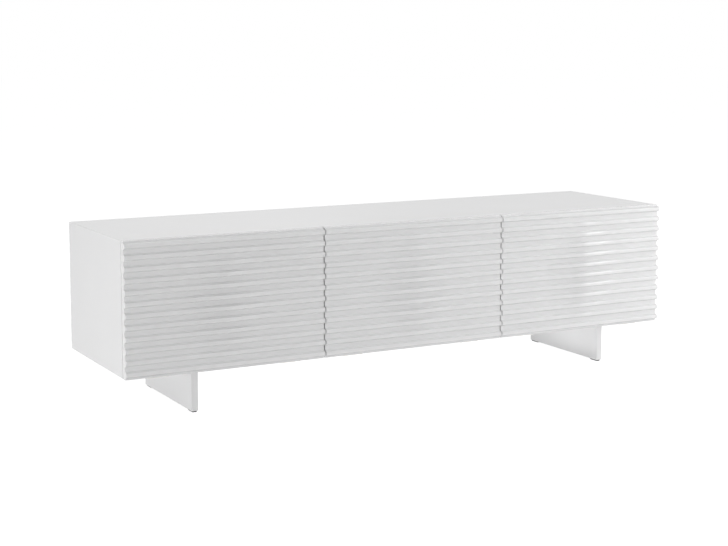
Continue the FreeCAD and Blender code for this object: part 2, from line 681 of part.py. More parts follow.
def door_panel(bay):
    start = DOOR_START[bay]
    spot = (start, Y_HOLLOW, Z_TOP)
    ribbed = put(patterned("door_" + bay, RIB, RIB_COUNT, SLAB), spot)
    swollen = put(patterned("swell_" + bay, SWELL, SWELL_COUNT, None), spot)
    # flat cone over the middle of the door, rooted inside the ribs
    dome = cone("sizes.dome_radius + sizes.dome_root"
                " * (sizes.dome_radius - sizes.dome_top_radius) / sizes.dome_height",
                "sizes.dome_top_radius", "sizes.dome_height + sizes.dome_root",
                (f"({start} + {DOOR_WIDTH} / 2)",
                 f"{Y_HOLLOW} - sizes.rib_height + sizes.dome_root",
                 f"{Z_TOP} - sizes.case_height / 2"), "-Y")
    tools = []
    for x in X_HINGES[bay]:
        for step in HINGE_SCREW_X:
            tools.append(pilot((f"{x} + {step}", f"{Y_DOOR} + sizes.hinge_leaf", Z_HINGE_SCREW),
                               "-Y"))
    for wall, way in STAYS[bay]:
        for spot in door_bracket_screws(wall, way):
            tools.append(pilot(spot, "-Y"))
    return cut(fuse([ribbed, common(swollen, dome)]), tools)


def door_bracket_x(wall, way):
    """Middle of the plate of a door bracket, inboard of the rod's eye."""
    sign = "+" if way > 0 else "-"
    return (f"({wall} {sign} (sizes.stay_wall_gap + sizes.stay_eye_width / 2"
            " + sizes.stay_side_gap + sizes.bracket_width / 2))")


def door_bracket_screws(wall, way):
    x = door_bracket_x(wall, way)
    return [(x, f"{Y_DOOR} + sizes.bracket_plate", f"{Z_ROD} {step} sizes.bracket_screw")
            for step in ("-", "+")]


for bay in BAYS:
    node("door_panel_" + bay, door_panel(bay))

# ---------------------------------------------------------------- hinges

case_leaves = []
hinge_pins = []
case_screws = []
IN_LEAF = "sizes.hinge_drop + sizes.hinge_rise"
for bay in BAYS:
    door_leaves = []
    door_screws = []
    for x in X_HINGES[bay]:
        low = f"({x} - sizes.hinge_length / 2)"
        high = f"({x} + sizes.hinge_length / 2)"
        inner = f"({low} + sizes.hinge_knuckle + sizes.hinge_knuckle_gap)"
        inner_length = f"(sizes.hinge_length - 2 * sizes.hinge_knuckle - 2 * sizes.hinge_knuckle_gap)"
        bore = cylinder("sizes.hinge_pin_radius + sizes.hinge_pin_fit", "sizes.hinge_length",
                        (low, Y_AXIS, Z_AXIS), "+X")
        # leaf on the front edge of the bottom board, with the two outer knuckles
        plate = box((low, f"{Y_CASE} - sizes.hinge_leaf", Z_LEAF),
                    ("sizes.hinge_length", "sizes.hinge_leaf", "sizes.hinge_leaf_height"))
        pieces = [plate]
        for knuckle in (low, f"({high} - sizes.hinge_knuckle)"):
            pieces.append(box((knuckle, f"{Y_CASE} - sizes.hinge_leaf", Z_AXIS),
                              ("sizes.hinge_knuckle", "sizes.hinge_leaf", IN_LEAF)))
            pieces.append(cylinder("sizes.hinge_knuckle_radius", "sizes.hinge_knuckle",
                                   (knuckle, Y_AXIS, Z_AXIS), "+X"))
        tools = [bore]
        for step in HINGE_SCREW_X:
            spot = (f"{x} + {step}", f"{Y_CASE} - sizes.hinge_leaf", Z_HINGE_SCREW)
            tools.append(countersink(spot, "+Y"))
            case_screws.append(flush_screw(spot, "+Y"))
        case_leaves.append(cut(fuse(pieces), tools))
        hinge_pins.append(cylinder("sizes.hinge_pin_radius", "sizes.hinge_length",
                                   (low, Y_AXIS, Z_AXIS), "+X"))
        # leaf on the back of the door, with the middle knuckle
        plate = box((low, Y_DOOR, Z_LEAF),
                    ("sizes.hinge_length", "sizes.hinge_leaf", "sizes.hinge_leaf_height"))
        tab = box((inner, Y_DOOR, Z_AXIS), (inner_length, "sizes.hinge_leaf", IN_LEAF))
        knuckle = cylinder("sizes.hinge_knuckle_radius", inner_length,
                           (inner, Y_AXIS, Z_AXIS), "+X")
        tools = [cylinder("sizes.hinge_pin_radius + sizes.hinge_pin_fit", "sizes.hinge_length",
                          (low, Y_AXIS, Z_AXIS), "+X")]
        for step in HINGE_SCREW_X:
            spot = (f"{x} + {step}", f"{Y_DOOR} + sizes.hinge_leaf", Z_HINGE_SCREW)
            tools.append(countersink(spot, "-Y"))
            door_screws.append(flush_screw(spot, "-Y"))
        door_leaves.append(cut(fuse([plate, tab, knuckle]), tools))
    node("hinge_door_leaves_" + bay, group(door_leaves))
    node("hinge_door_screws_" + bay, group(door_screws))
node("hinge_case_leaves", group(case_leaves))
node("hinge_pins", group(hinge_pins))
node("hinge_case_screws", group(case_screws))

# ---------------------------------------------------------------- soft-down stays


def along_stay(radius, length, wall_x, reach):
    """Round piece on the stay's line, starting at a distance from the pivot on the case."""
    item = doc.addObject("Part::Cylinder", "round")
    # any turn about X will do here: the angle comes from the expression below
    item.Placement = FreeCAD.Placement(FreeCAD.Vector(0, 0, 0),
                                       FreeCAD.Rotation(FreeCAD.Vector(1, 0, 0), 45))
    item.setExpression("Placement.Base.x", wall_x)
    item.setExpression("Placement.Base.y", f"{Y_TUBE} - ({reach}) * sin({STAY_TILT})")
    item.setExpression("Placement.Base.z", f"{Z_TUBE} + ({reach}) * cos({STAY_TILT})")
    item.setExpression("Placement.Rotation.Angle", STAY_TILT)
    item.setExpression("Radius", radius)
    item.setExpression("Height", length)
    return item


BESIDE_EYE = "(sizes.stay_eye_width / 2 + sizes.stay_side_gap)"
THROUGH_EYE = "sizes.stay_eye_width + 2 * sizes.past"
STUD_BORE = "sizes.stay_stud_radius + sizes.stay_stud_fit"
STUD_HEAD = "sizes.stay_stud_radius + sizes.stay_stud_head"
case_brackets = []
bracket_screws = []
for bay in BAYS:
    tubes = []
    rods = []
    door_brackets = []
    door_screws = []
    for wall, way in STAYS[bay]:
        sign, back = ("+", "-") if way > 0 else ("-", "+")
        inward = "+X" if way > 0 else "-X"
        outward = "-X" if way > 0 else "+X"
        middle = f"({wall} {sign} sizes.stay_wall_gap)"
        eye_low = f"({middle} {back} sizes.stay_eye_width / 2)"
        # plate and stud on the wall of the bay
        plate = box((f"{wall}" if way > 0 else f"{wall} - sizes.bracket_plate",
                     f"{Y_TUBE} - sizes.bracket_width / 2",
                     f"{Z_TUBE} - sizes.bracket_length / 2"),
                    ("sizes.bracket_plate", "sizes.bracket_width", "sizes.bracket_length"))
        stud = cylinder("sizes.stay_stud_radius",
                        f"sizes.stay_wall_gap + {BESIDE_EYE} + sizes.stay_stud_head",
                        (wall, Y_TUBE, Z_TUBE), inward)
        collar = cylinder("sizes.stay_stud_radius + sizes.stay_collar",
                          f"sizes.stay_wall_gap - {BESIDE_EYE}", (wall, Y_TUBE, Z_TUBE), inward)
        head = cylinder(STUD_HEAD, "sizes.stay_stud_head",
                        (f"{middle} {sign} {BESIDE_EYE}", Y_TUBE, Z_TUBE), inward)
        tools = []
        for step in ("-", "+"):
            spot = (f"{wall} {sign} sizes.bracket_plate", Y_TUBE,
                    f"{Z_TUBE} {step} sizes.bracket_screw")
            tools.append(screw_hole("sizes.bracket_plate", spot, outward))
            bracket_screws.append(raised_screw(spot, outward, inward,
                                               f"sizes.bracket_plate + {IN_WALL}"))
        case_brackets.append(cut(fuse([plate, stud, collar, head]), tools))
        # damper tube that swings on the stud
        eye = cylinder("sizes.stay_eye_radius", "sizes.stay_eye_width",
                       (eye_low, Y_TUBE, Z_TUBE), inward)
        neck = along_stay("sizes.stay_eye_width / 2 - sizes.stay_side_gap",
                          "sizes.stay_tube_start + sizes.stay_tube_floor / 2", middle, "0")
        tube = along_stay("sizes.stay_tube_radius", f"{TUBE_END} - sizes.stay_tube_start",
                          middle, "sizes.stay_tube_start")
        eye_bore = cylinder(STUD_BORE, THROUGH_EYE, (f"({eye_low} {back} sizes.past)", Y_TUBE,
                                                     Z_TUBE), inward)
        bore = along_stay("sizes.stay_tube_bore",
                          f"{TUBE_END} - sizes.stay_cap - sizes.stay_tube_start"
                          " - sizes.stay_tube_floor",
                          middle, "sizes.stay_tube_start + sizes.stay_tube_floor")
        mouth = along_stay("sizes.stay_rod_radius + sizes.stay_rod_fit",
                           "sizes.stay_cap + 2 * sizes.hole_spare", middle,
                           f"{TUBE_END} - sizes.stay_cap - sizes.hole_spare")
        tubes.append(cut(fuse([eye, neck, tube]), [eye_bore, fuse([bore, mouth])]))
        # piston rod that swings on the door
        eye = cylinder("sizes.stay_rod_eye_radius", "sizes.stay_eye_width",
                       (eye_low, Y_ROD, Z_ROD), inward)
        shaft = along_stay("sizes.stay_rod_radius", f"{STAY_LENGTH} - {PISTON_END}", middle,
                           PISTON_END)
        piston = along_stay("sizes.stay_tube_bore - sizes.stay_rod_fit", "sizes.stay_piston",
                            middle, PISTON_END)
        eye_bore = cylinder(STUD_BORE, THROUGH_EYE, (f"({eye_low} {back} sizes.past)", Y_ROD,
                                                     Z_ROD), inward)
        rods.append(cut(fuse([eye, shaft, piston]), [eye_bore]))
        # bracket on the back of the door
        plate_x = door_bracket_x(wall, way)
        plate = box((f"{plate_x} - sizes.bracket_width / 2", Y_DOOR,
                     f"{Z_ROD} - sizes.bracket_length / 2"),
                    ("sizes.bracket_width", "sizes.bracket_plate", "sizes.bracket_length"))
        ear_start = f"({middle} {sign} {BESIDE_EYE})"
        ear_x = ear_start if way > 0 else f"({ear_start} - sizes.bracket_ear)"
        ear = box((ear_x, Y_DOOR, f"{Z_ROD} - sizes.bracket_ear_height / 2"),
                  ("sizes.bracket_ear", "sizes.stay_offset + sizes.bracket_ear_rim",
                   "sizes.bracket_ear_height"))
        stud = cylinder("sizes.stay_stud_radius",
                        f"sizes.bracket_ear + 2 * {BESIDE_EYE} + sizes.stay_stud_head",
                        (f"({ear_start} {sign} sizes.bracket_ear)", Y_ROD, Z_ROD), outward)
        head = cylinder(STUD_HEAD, "sizes.stay_stud_head",
                        (f"({middle} {back} {BESIDE_EYE})", Y_ROD, Z_ROD), outward)
        tools = []
        for spot in door_bracket_screws(wall, way):
            tools.append(screw_hole("sizes.bracket_plate", spot, "-Y"))
            door_screws.append(raised_screw(spot, "-Y", "+Y"))
        door_brackets.append(cut(fuse([plate, ear, stud, head]), tools))
    node("stay_cylinders_" + bay, group(tubes))
    node("stay_rods_" + bay, group(rods))
    node("stay_door_brackets_" + bay, group(door_brackets))
    node("stay_door_screws_" + bay, group(door_screws))
node("stay_case_brackets", group(case_brackets))
node("stay_bracket_screws", group(bracket_screws))

# ---------------------------------------------------------------- push latches and strikes

housings = []
latch_screws = []
for bay in BAYS:
    x = BAY_MIDDLE[bay]
    block = box((f"{x} - sizes.latch_width / 2", Y_LATCH, Z_LATCH),
                ("sizes.latch_width", "sizes.latch_depth", "sizes.latch_height"))
    flange = box((f"{x} - sizes.latch_width / 2 - sizes.latch_flange",
                  f"{Y_LATCH_SCREW} - sizes.latch_flange_depth / 2",
                  f"{Z_CEILING} - sizes.latch_flange_height"),
                 ("sizes.latch_width + 2 * sizes.latch_flange", "sizes.latch_flange_depth",
                  "sizes.latch_flange_height"))
    tools = [cylinder("sizes.plunger_radius + sizes.plunger_fit", "sizes.plunger_bore",
                      (x, Y_LATCH, Z_PLUNGER), "+Y")]
    for side in ("-", "+"):
        spot = (f"{x} {side} {LATCH_SCREW_X}", Y_LATCH_SCREW,
                f"{Z_CEILING} - sizes.latch_flange_height")
        tools.append(screw_hole("sizes.latch_flange_height", spot, "+Z"))
        latch_screws.append(raised_screw(spot, "+Z", "-Z"))
    housings.append(cut(fuse([block, flange]), tools))
    node("latch_plunger_" + bay,
         cylinder("sizes.plunger_radius", "sizes.plunger_length",
                  (x, f"{Y_DOOR} + sizes.strike_height + sizes.plunger_fit", Z_PLUNGER), "+Y"))
    node("strike_plate_" + bay,
         cylinder("sizes.strike_radius", "sizes.strike_height", (x, Y_DOOR, Z_PLUNGER), "+Y"))
node("latch_housings", group(housings))
node("latch_screws", group(latch_screws))

# ---------------------------------------------------------------- door bumpers

bumpers = []
Z_BUMPER = f"({Z_TOP} - sizes.bumper_drop)"
BUMPER_X = [f"(-{X_END} + sizes.board / 2)", f"({X_END} - sizes.board / 2)"]
for side in ("-", ""):
    for step in ("-", "+"):
        BUMPER_X.append(f"({side}{X_DIVIDER} {step} ({HALF_DIVIDER} - sizes.bumper_radius"
                        " - sizes.bumper_edge))")
for x in BUMPER_X:
    bumpers.append(cylinder("sizes.bumper_radius", "sizes.door_gap_back - sizes.bumper_gap",
                            (x, Y_CASE, Z_BUMPER), "-Y"))
node("door_bumpers", group(bumpers))

# ---------------------------------------------------------------- build, test and write

doc.recompute()
faults = [item.Name for item in doc.Objects
          if "Invalid" in item.State or "Error" in item.State]
if faults:
    raise SystemExit("objects that failed: %s" % ", ".join(faults))
for item in NODES:
    shape = item.Shape
    if shape.isNull() or not shape.isValid() or not shape.Solids:
        raise SystemExit("bad shape: " + item.Label)

os.makedirs("parts", exist_ok=True)
for item in NODES:
    item.Shape.exportStep("parts/%s.step" % item.Label)
    print("%-28s solids %3d  volume %.0f" % (item.Label, len(item.Shape.Solids),
                                            item.Shape.Volume))
print(len(NODES), "nodes")
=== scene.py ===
import json
import math

import bmesh
import bpy
from mathutils import Matrix, Vector


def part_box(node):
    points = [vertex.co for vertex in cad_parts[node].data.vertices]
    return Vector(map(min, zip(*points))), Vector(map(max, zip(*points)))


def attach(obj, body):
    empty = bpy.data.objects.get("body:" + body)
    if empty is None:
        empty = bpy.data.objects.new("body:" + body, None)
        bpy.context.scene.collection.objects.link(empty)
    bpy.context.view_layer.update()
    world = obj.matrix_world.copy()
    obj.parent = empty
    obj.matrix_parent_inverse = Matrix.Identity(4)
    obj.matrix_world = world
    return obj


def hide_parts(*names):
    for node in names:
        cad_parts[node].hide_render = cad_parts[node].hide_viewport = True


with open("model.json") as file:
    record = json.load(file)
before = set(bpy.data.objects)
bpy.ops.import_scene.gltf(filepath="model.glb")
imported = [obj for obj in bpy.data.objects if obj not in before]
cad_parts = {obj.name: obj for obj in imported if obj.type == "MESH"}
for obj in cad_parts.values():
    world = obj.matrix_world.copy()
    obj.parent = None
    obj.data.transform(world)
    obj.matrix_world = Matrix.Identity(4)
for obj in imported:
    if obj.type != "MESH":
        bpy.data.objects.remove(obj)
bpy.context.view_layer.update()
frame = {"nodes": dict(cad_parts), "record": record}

BAYS = ("left", "center", "right")
ARRIS = 0.0006          # softened edge of a lacquered board
SAME_POINT = 1e-7       # points closer than this are welded
CUTTER_STUB = 0.002     # how far a hole's cutter stands out of the surface

# ------------------------------------------------------------------ node materials


def node_material(name):
    """Empty node material with a Principled shader, ready for its own nodes."""
    mat = bpy.data.materials.new(name)
    mat.use_nodes = True
    tree = mat.node_tree
    tree.nodes.clear()
    out = tree.nodes.new("ShaderNodeOutputMaterial")
    shader = tree.nodes.new("ShaderNodeBsdfPrincipled")
    tree.links.new(shader.outputs["BSDF"], out.inputs["Surface"])
    return mat, tree, shader


def object_coordinates(tree, stretch=(1, 1, 1)):
    place = tree.nodes.new("ShaderNodeTexCoord")
    scale = tree.nodes.new("ShaderNodeMapping")
    scale.inputs["Scale"].default_value = stretch
    tree.links.new(place.outputs["Object"], scale.inputs["Vector"])
    return scale.outputs["Vector"]


def noise(tree, where, scale, detail=3.0, rough=0.55):
    tex = tree.nodes.new("ShaderNodeTexNoise")
    tex.inputs["Scale"].default_value = scale
    tex.inputs["Detail"].default_value = detail
    tex.inputs["Roughness"].default_value = rough
    tree.links.new(where, tex.inputs["Vector"])
    return tex.outputs["Fac"]


def between(tree, factor, low, high, start=0.3, end=0.7):
    """Maps a 0..1 pattern to a range of numbers."""
    node = tree.nodes.new("ShaderNodeMapRange")
    node.inputs["From Min"].default_value = start
    node.inputs["From Max"].default_value = end
    node.inputs["To Min"].default_value = low
    node.inputs["To Max"].default_value = high
    tree.links.new(factor, node.inputs["Value"])
    return node.outputs["Result"]


def shades(tree, factor, low, high, start=0.3, end=0.7):
    """Maps a 0..1 pattern to a range of colours."""
    ramp = tree.nodes.new("ShaderNodeValToRGB")
    ramp.color_ramp.elements[0].position = start
    ramp.color_ramp.elements[0].color = (*low, 1)
    ramp.color_ramp.elements[1].position = end
    ramp.color_ramp.elements[1].color = (*high, 1)
    tree.links.new(factor, ramp.inputs["Fac"])
    return ramp.outputs["Color"]


def bump(tree, shader, height, strength, distance):
    node = tree.nodes.new("ShaderNodeBump")
    node.inputs["Strength"].default_value = strength
    node.inputs["Distance"].default_value = distance
    tree.links.new(height, node.inputs["Height"])
    tree.links.new(node.outputs["Normal"], shader.inputs["Normal"])


def coated(name, low, high, rough, peel=900.0, depth=0.00001, cloud=5.0, spread=0.012,
           specular=0.5):
    """Sprayed or moulded surface: faint clouding, uneven sheen and a fine orange peel."""
    mat, tree, shader = node_material(name)
    where = object_coordinates(tree)
    clouds = noise(tree, where, cloud)
    tree.links.new(shades(tree, clouds, low, high), shader.inputs["Base Color"])
    sheen = between(tree, noise(tree, where, cloud * 4), rough - spread, rough + spread)
    tree.links.new(sheen, shader.inputs["Roughness"])
    shader.inputs["Specular IOR Level"].default_value = specular
    bump(tree, shader, noise(tree, where, peel, 2.0), 0.25, depth)
    return mat


def plated(name, low, high, rough, stretch=(1, 1, 1)):
    """Plated steel with fine drawn marks and uneven brightness."""
    mat, tree, shader = node_material(name)
    where = object_coordinates(tree, stretch)
    marks = noise(tree, where, 420.0, 4.0, 0.7)
    clouds = noise(tree, object_coordinates(tree), 60.0)
    tree.links.new(shades(tree, clouds, low, high), shader.inputs["Base Color"])
    tree.links.new(between(tree, marks, rough - 0.08, rough + 0.12), shader.inputs["Roughness"])
    shader.inputs["Metallic"].default_value = 1.0
    bump(tree, shader, marks, 0.2, 0.00003)
    return mat


def rubber(name, low, high):
    mat, tree, shader = node_material(name)
    where = object_coordinates(tree)
    tree.links.new(shades(tree, noise(tree, where, 90.0), low, high), shader.inputs["Base Color"])
    tree.links.new(between(tree, noise(tree, where, 300.0), 0.45, 0.7),
                   shader.inputs["Roughness"])
    bump(tree, shader, noise(tree, where, 1500.0), 0.3, 0.00004)
    return mat


def beech(name):
    """Fine straight grain along local Z, with short dark flecks."""
    mat, tree, shader = node_material(name)
    grain = noise(tree, object_coordinates(tree, (260, 260, 9)), 1.0, 6.0, 0.6)
    tree.links.new(shades(tree, grain, (0.46, 0.29, 0.16), (0.68, 0.48, 0.31)),
                   shader.inputs["Base Color"])
    tree.links.new(between(tree, grain, 0.5, 0.7), shader.inputs["Roughness"])
    bump(tree, shader, grain, 0.4, 0.0002)
    return mat


LACQUER = coated("satin_lacquer", (0.790, 0.790, 0.793), (0.800, 0.800, 0.803), 0.30)
DOOR_LACQUER = coated("door_lacquer", (0.790, 0.790, 0.793), (0.800, 0.800, 0.803), 0.19)
INNER = coated("inner_foil", (0.735, 0.736, 0.740), (0.750, 0.751, 0.755), 0.5, peel=1400.0,
               depth=0.00004, spread=0.03)
NICKEL = plated("nickel_plate", (0.60, 0.585, 0.56), (0.72, 0.70, 0.67), 0.24)
ZINC = plated("zinc_plate", (0.50, 0.52, 0.55), (0.66, 0.67, 0.70), 0.36)
GREY_TUBE = coated("grey_powder_coat", (0.16, 0.165, 0.172), (0.21, 0.215, 0.224), 0.5,
                   peel=1200.0, depth=0.00008, cloud=30.0)
BLACK = coated("black_nylon", (0.012, 0.012, 0.013), (0.022, 0.022, 0.023), 0.5, peel=1600.0,
               depth=0.00006, cloud=60.0)
WHITE_PLASTIC = coated("white_moulding", (0.70, 0.70, 0.695), (0.74, 0.74, 0.735), 0.42,
                       peel=1800.0, depth=0.00004, cloud=40.0)
RUBBER = rubber("clear_bumper", (0.55, 0.55, 0.55), (0.66, 0.66, 0.66))
BEECH = beech("beech_dowel")

# the record's slot and the finish that goes with it
SLOTS = {
    "white_lacquer": LACQUER,
    "door_lacquer": DOOR_LACQUER,
    "inner_lacquer": INNER,
    "beech": BEECH,
    "nickel": NICKEL,
    "zinc_steel": ZINC,
    "grey_tube": GREY_TUBE,
    "black_plastic": BLACK,
    "white_plastic": WHITE_PLASTIC,
    "clear_rubber": RUBBER,
}
SLOT_OF = {row["node"]: row["material_slot"] for row in frame["record"]["subparts"]}
BODY_OF = {}
for body, body_nodes in frame["record"]["behaviour"]["bodies"].items():
    for node in body_nodes:
        BODY_OF[node] = body

# ------------------------------------------------------------------ mesh helpers


def rounded(corners, radii, steps=3):
    """Closed 2D outline with each corner rounded by its own radius."""
    out = []
    count = len(corners)
    for i, corner in enumerate(corners):
        before = Vector(corners[i - 1]) - Vector(corner)
        after = Vector(corners[(i + 1) % count]) - Vector(corner)
        radius = radii[i] if isinstance(radii, (list, tuple)) else radii
        out += round_corner(Vector(corner), before, after, radius, steps)
    return out


def round_corner(corner, before, after, radius, steps):
    """Points of the arc that rounds one corner between its two sides."""
    if radius <= 0:
        return [corner.copy()]
    turn = before.angle(after)
    reach = radius / math.tan(turn / 2)
    limit = 0.49 * min(before.length, after.length)
    if reach > limit:
        radius *= limit / reach
        reach = limit
    start = corner + before.normalized() * reach
    end = corner + after.normalized() * reach
    middle = (before.normalized() + after.normalized()).normalized()
    centre = corner + middle * (radius / math.sin(turn / 2))
    first, last = start - centre, end - centre
    sweep = math.pi - turn
    points = []
    for k in range(steps + 1):
        f = k / steps
        a = math.sin((1 - f) * sweep) / math.sin(sweep)
        b = math.sin(f * sweep) / math.sin(sweep)
        points.append(centre + first * a + last * b)
    return points


def inset(loop, amount):
    """The outline moved inwards by a small amount."""
    area = sum(a.x * b.y - b.x * a.y for a, b in zip(loop, loop[1:] + loop[:1]))
    side = 1 if area > 0 else -1
    out = []
    count = len(loop)
    for i, point in enumerate(loop):
        a = point - loop[i - 1]
        b = loop[(i + 1) % count] - point
        normal = Vector((0, 0))
        for edge in (a, b):
            if edge.length > 1e-9:
                normal += Vector((-edge.y, edge.x)).normalized()
        out.append(point + normal.normalized() * (side * amount))
    return out


def finish_piece(name, bm, nodes, material, sharp=35):
    """Turns a bmesh into a piece that stands for CAD nodes and rides on their body."""
    bmesh.ops.remove_doubles(bm, verts=bm.verts, dist=SAME_POINT)
    bmesh.ops.recalc_face_normals(bm, faces=bm.faces)
    limit = math.radians(sharp)
    for face in bm.faces:
        face.smooth = True
    for edge in bm.edges:
        edge.smooth = len(edge.link_faces) == 2 and edge.calc_face_angle(0.0) < limit
    mesh = bpy.data.meshes.new(name)
    bm.to_mesh(mesh)
    bm.free()
    piece = bpy.data.objects.new(name, mesh)
    bpy.context.scene.collection.objects.link(piece)
    mesh.materials.append(material)
    weigh = piece.modifiers.new("even_faces", "WEIGHTED_NORMAL")
    weigh.keep_sharp = True
    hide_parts(*nodes)
    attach(piece, BODY_OF[nodes[0]])
    return piece


def skin(bm, loops):
    """Side faces between closed loops of equal count, with flat ends."""
    rings = [[bm.verts.new(p) for p in loop] for loop in loops]
    for low, high in zip(rings, rings[1:]):
        for i in range(len(low)):
            j = (i + 1) % len(low)
            bm.faces.new((low[i], low[j], high[j], high[i]))
    bm.faces.new(rings[0])
    bm.faces.new(rings[-1])


def soft_ends(start, end, radius=ARRIS, steps=3):
    """(place, inset) pairs from one end of a board to the other."""
    low = []
    for k in range(steps + 1):
        a = math.pi / 2 * k / steps
        low.append((start + radius * (1 - math.cos(a)), radius * (1 - math.sin(a))))
    high = [(end - (place - start), amount) for place, amount in reversed(low)]
    return low + high


def board(low, high, arris=ARRIS):
    """Bmesh of a flat board whose edges and corners are all softened."""
    bm = bmesh.new()
    outline = rounded([(low[0], low[1]), (high[0], low[1]), (high[0], high[1]),
                       (low[0], high[1])], arris)
    loops = []
    for z, amount in soft_ends(low[2], high[2], arris):
        loops.append([(p.x, p.y, z) for p in inset(outline, amount)])
    skin(bm, loops)
    return bm


def carve(piece, cutters):
    """Takes the cutters' volume out of the piece's own mesh and deletes them."""
    joined = bpy.data.meshes.new("cutter")
    whole = bmesh.new()
    for cutter in cutters:
        part = bpy.data.meshes.new("part")
        cutter.to_mesh(part)
        whole.from_mesh(part)
        cutter.free()
        bpy.data.meshes.remove(part)
    whole.to_mesh(joined)
    whole.free()
    tool = bpy.data.objects.new("cutter", joined)
    bpy.context.scene.collection.objects.link(tool)
    step = piece.modifiers.new("holes", "BOOLEAN")
    step.operation = "DIFFERENCE"
    step.solver = "EXACT"
    step.object = tool
    # the cut comes before the shading, and is kept in the mesh
    while piece.modifiers[0] != step:
        piece.modifiers.move(piece.modifiers.find(step.name), 0)
    shading = [m for m in piece.modifiers if m != step]
    for other in shading:
        other.show_viewport = False
    bpy.context.view_layer.update()
    graph = bpy.context.evaluated_depsgraph_get()
    cut = bpy.data.meshes.new_from_object(piece.evaluated_get(graph))
    piece.modifiers.remove(step)
    for other in shading:
        other.show_viewport = True
    old = piece.data
    piece.data = cut
    bpy.data.meshes.remove(old)
    bpy.data.objects.remove(tool)
    bpy.data.meshes.remove(joined)


def circle(steps):
    """Angles of a full turn in equal steps."""
    return [2 * math.pi * k / steps for k in range(steps)]


def along_axis(centre, axis):
    """Matrix that puts local Z on the axis and the origin on the centre."""
    turn = Vector((0, 0, 1)).rotation_difference(Vector(axis)).to_matrix().to_4x4()
    return Matrix.Translation(centre) @ turn


def round_cutter(centre, axis, radius, length, rim, steps):
    """Cylinder along an axis from a point, with a flared mouth."""
    bm = bmesh.new()
    place = along_axis(centre, axis)
    rows = [(-CUTTER_STUB, radius + rim), (0.0, radius + rim), (rim, radius), (length, radius)]
    loops = []
    for z, r in rows:
        loops.append([place @ Vector((r * math.cos(a), r * math.sin(a), z))
                      for a in circle(steps)])
    skin(bm, loops)
    bmesh.ops.recalc_face_normals(bm, faces=bm.faces)
    return bm


def lathe(bm, profile, centre, axis, steps):
    """Closed profile of (radius, place along the axis) points turned round the axis."""
    place = along_axis(centre, axis)
    rings = []
    for a in circle(steps):
        rings.append([bm.verts.new(place @ Vector((r * math.cos(a), r * math.sin(a), z)))
                      for r, z in profile])
    for k in range(steps):
        low, high = rings[k], rings[(k + 1) % steps]
        for i in range(len(profile)):
            j = (i + 1) % len(profile)
            bm.faces.new((low[i], low[j], high[j], high[i]))


# ------------------------------------------------------------------ the mitred case

top_low, top_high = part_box("top_panel")

CASE_FRONT = top_low.y
CASE_BACK = top_high.y
CASE_TOP = top_high.z
CASE_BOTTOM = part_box("bottom_panel")[0].z
HALF_LENGTH = top_high.x
HALF_HEIGHT = (CASE_TOP - CASE_BOTTOM) / 2
MID_HEIGHT = (CASE_TOP + CASE_BOTTOM) / 2
BOARD = top_high.z - top_low.z
REBATE = 0.010
BACK_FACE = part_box("back_panel_center")[0].y
CORNER = 0.0012         # rounding of the four long mitred edges


def case_profile():
    """Closed (place in depth, inset from the outside) outline of a case board."""
    corners = [
        (CASE_FRONT, 0), (CASE_BACK, 0), (CASE_BACK, BOARD - REBATE),
        (BACK_FACE, BOARD - REBATE), (BACK_FACE, BOARD), (CASE_FRONT, BOARD),
    ]
    radii = [0.0009, 0.0009, 0.0004, 0, 0.0003, 0.0006]
    return rounded(corners, radii)


def case_point(depth, amount, side, step, steps):
    """Point of the shell: side 0..3 from the top, step -steps..steps round its corners."""
    half_x, half_z = HALF_LENGTH - amount, HALF_HEIGHT - amount
    radius = max(CORNER - amount, 0.0)
    # the board runs from the middle of one corner to the middle of the next
    along = half_x if side % 2 == 0 else half_z
    across = half_z if side % 2 == 0 else half_x
    sign = -1 if step < 0 else 1
    angle = math.radians(45) * (abs(step) - 1) / steps
    u = sign * (along - radius + radius * math.sin(angle))
    v = across - radius + radius * math.cos(angle)
    x, z = ((u, v), (v, -u), (-u, -v), (-v, u))[side]
    return (x, depth, MID_HEIGHT + z)


def case_board(name, side, steps=3):
    """Board on one side of the case, with half of each mitred corner at its ends."""
    bm = bmesh.new()
    loops = []
    for step in [k for k in range(-steps - 1, steps + 2) if k != 0]:
        loops.append([case_point(p.x, p.y, side, step, steps) for p in case_profile()])
    skin(bm, loops)
    return finish_piece(name + "_board", bm, [name], LACQUER)


case_board("top_panel", 0)
case_board("bottom_panel", 2)
side_right = case_board("side_panel_right", 1)
side_left = case_board("side_panel_left", 3)

# ------------------------------------------------------------------ inside boards


def plain_board(node, material, arris=ARRIS):
    low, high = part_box(node)
    return finish_piece(node + "_board", board(low, high, arris), [node], material)


pins_low, pins_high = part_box("shelf_pins")
PIN_RADIUS = 0.00255
PIN_DEPTH = 0.008
PIN_PITCH = 0.032
PIN_Z = (pins_low.z + pins_high.z) / 2
pin_half = (pins_high.z - pins_low.z) / 2
PIN_Y = (pins_low.y + pin_half, pins_high.y - pin_half)


def pin_rows(wall, way):
    """Cutters for the two rows of shelf pin holes in one wall."""
    cutters = []
    for y in PIN_Y:
        for row in range(-2, 3):
            cutters.append(round_cutter((wall, y, PIN_Z + row * PIN_PITCH), (way, 0, 0),
                                        PIN_RADIUS, PIN_DEPTH, 0.0003, 20))
    return cutters


carve(side_left, pin_rows(-HALF_LENGTH + BOARD, -1))
carve(side_right, pin_rows(HALF_LENGTH - BOARD, 1))
for node in ("divider_left", "divider_right"):
    low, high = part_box(node)
    carve(plain_board(node, INNER), pin_rows(low.x, 1) + pin_rows(high.x, -1))
for bay in BAYS:
    plain_board("shelf_" + bay, INNER, 0.0008)

# ------------------------------------------------------------------ back panels and cable rings

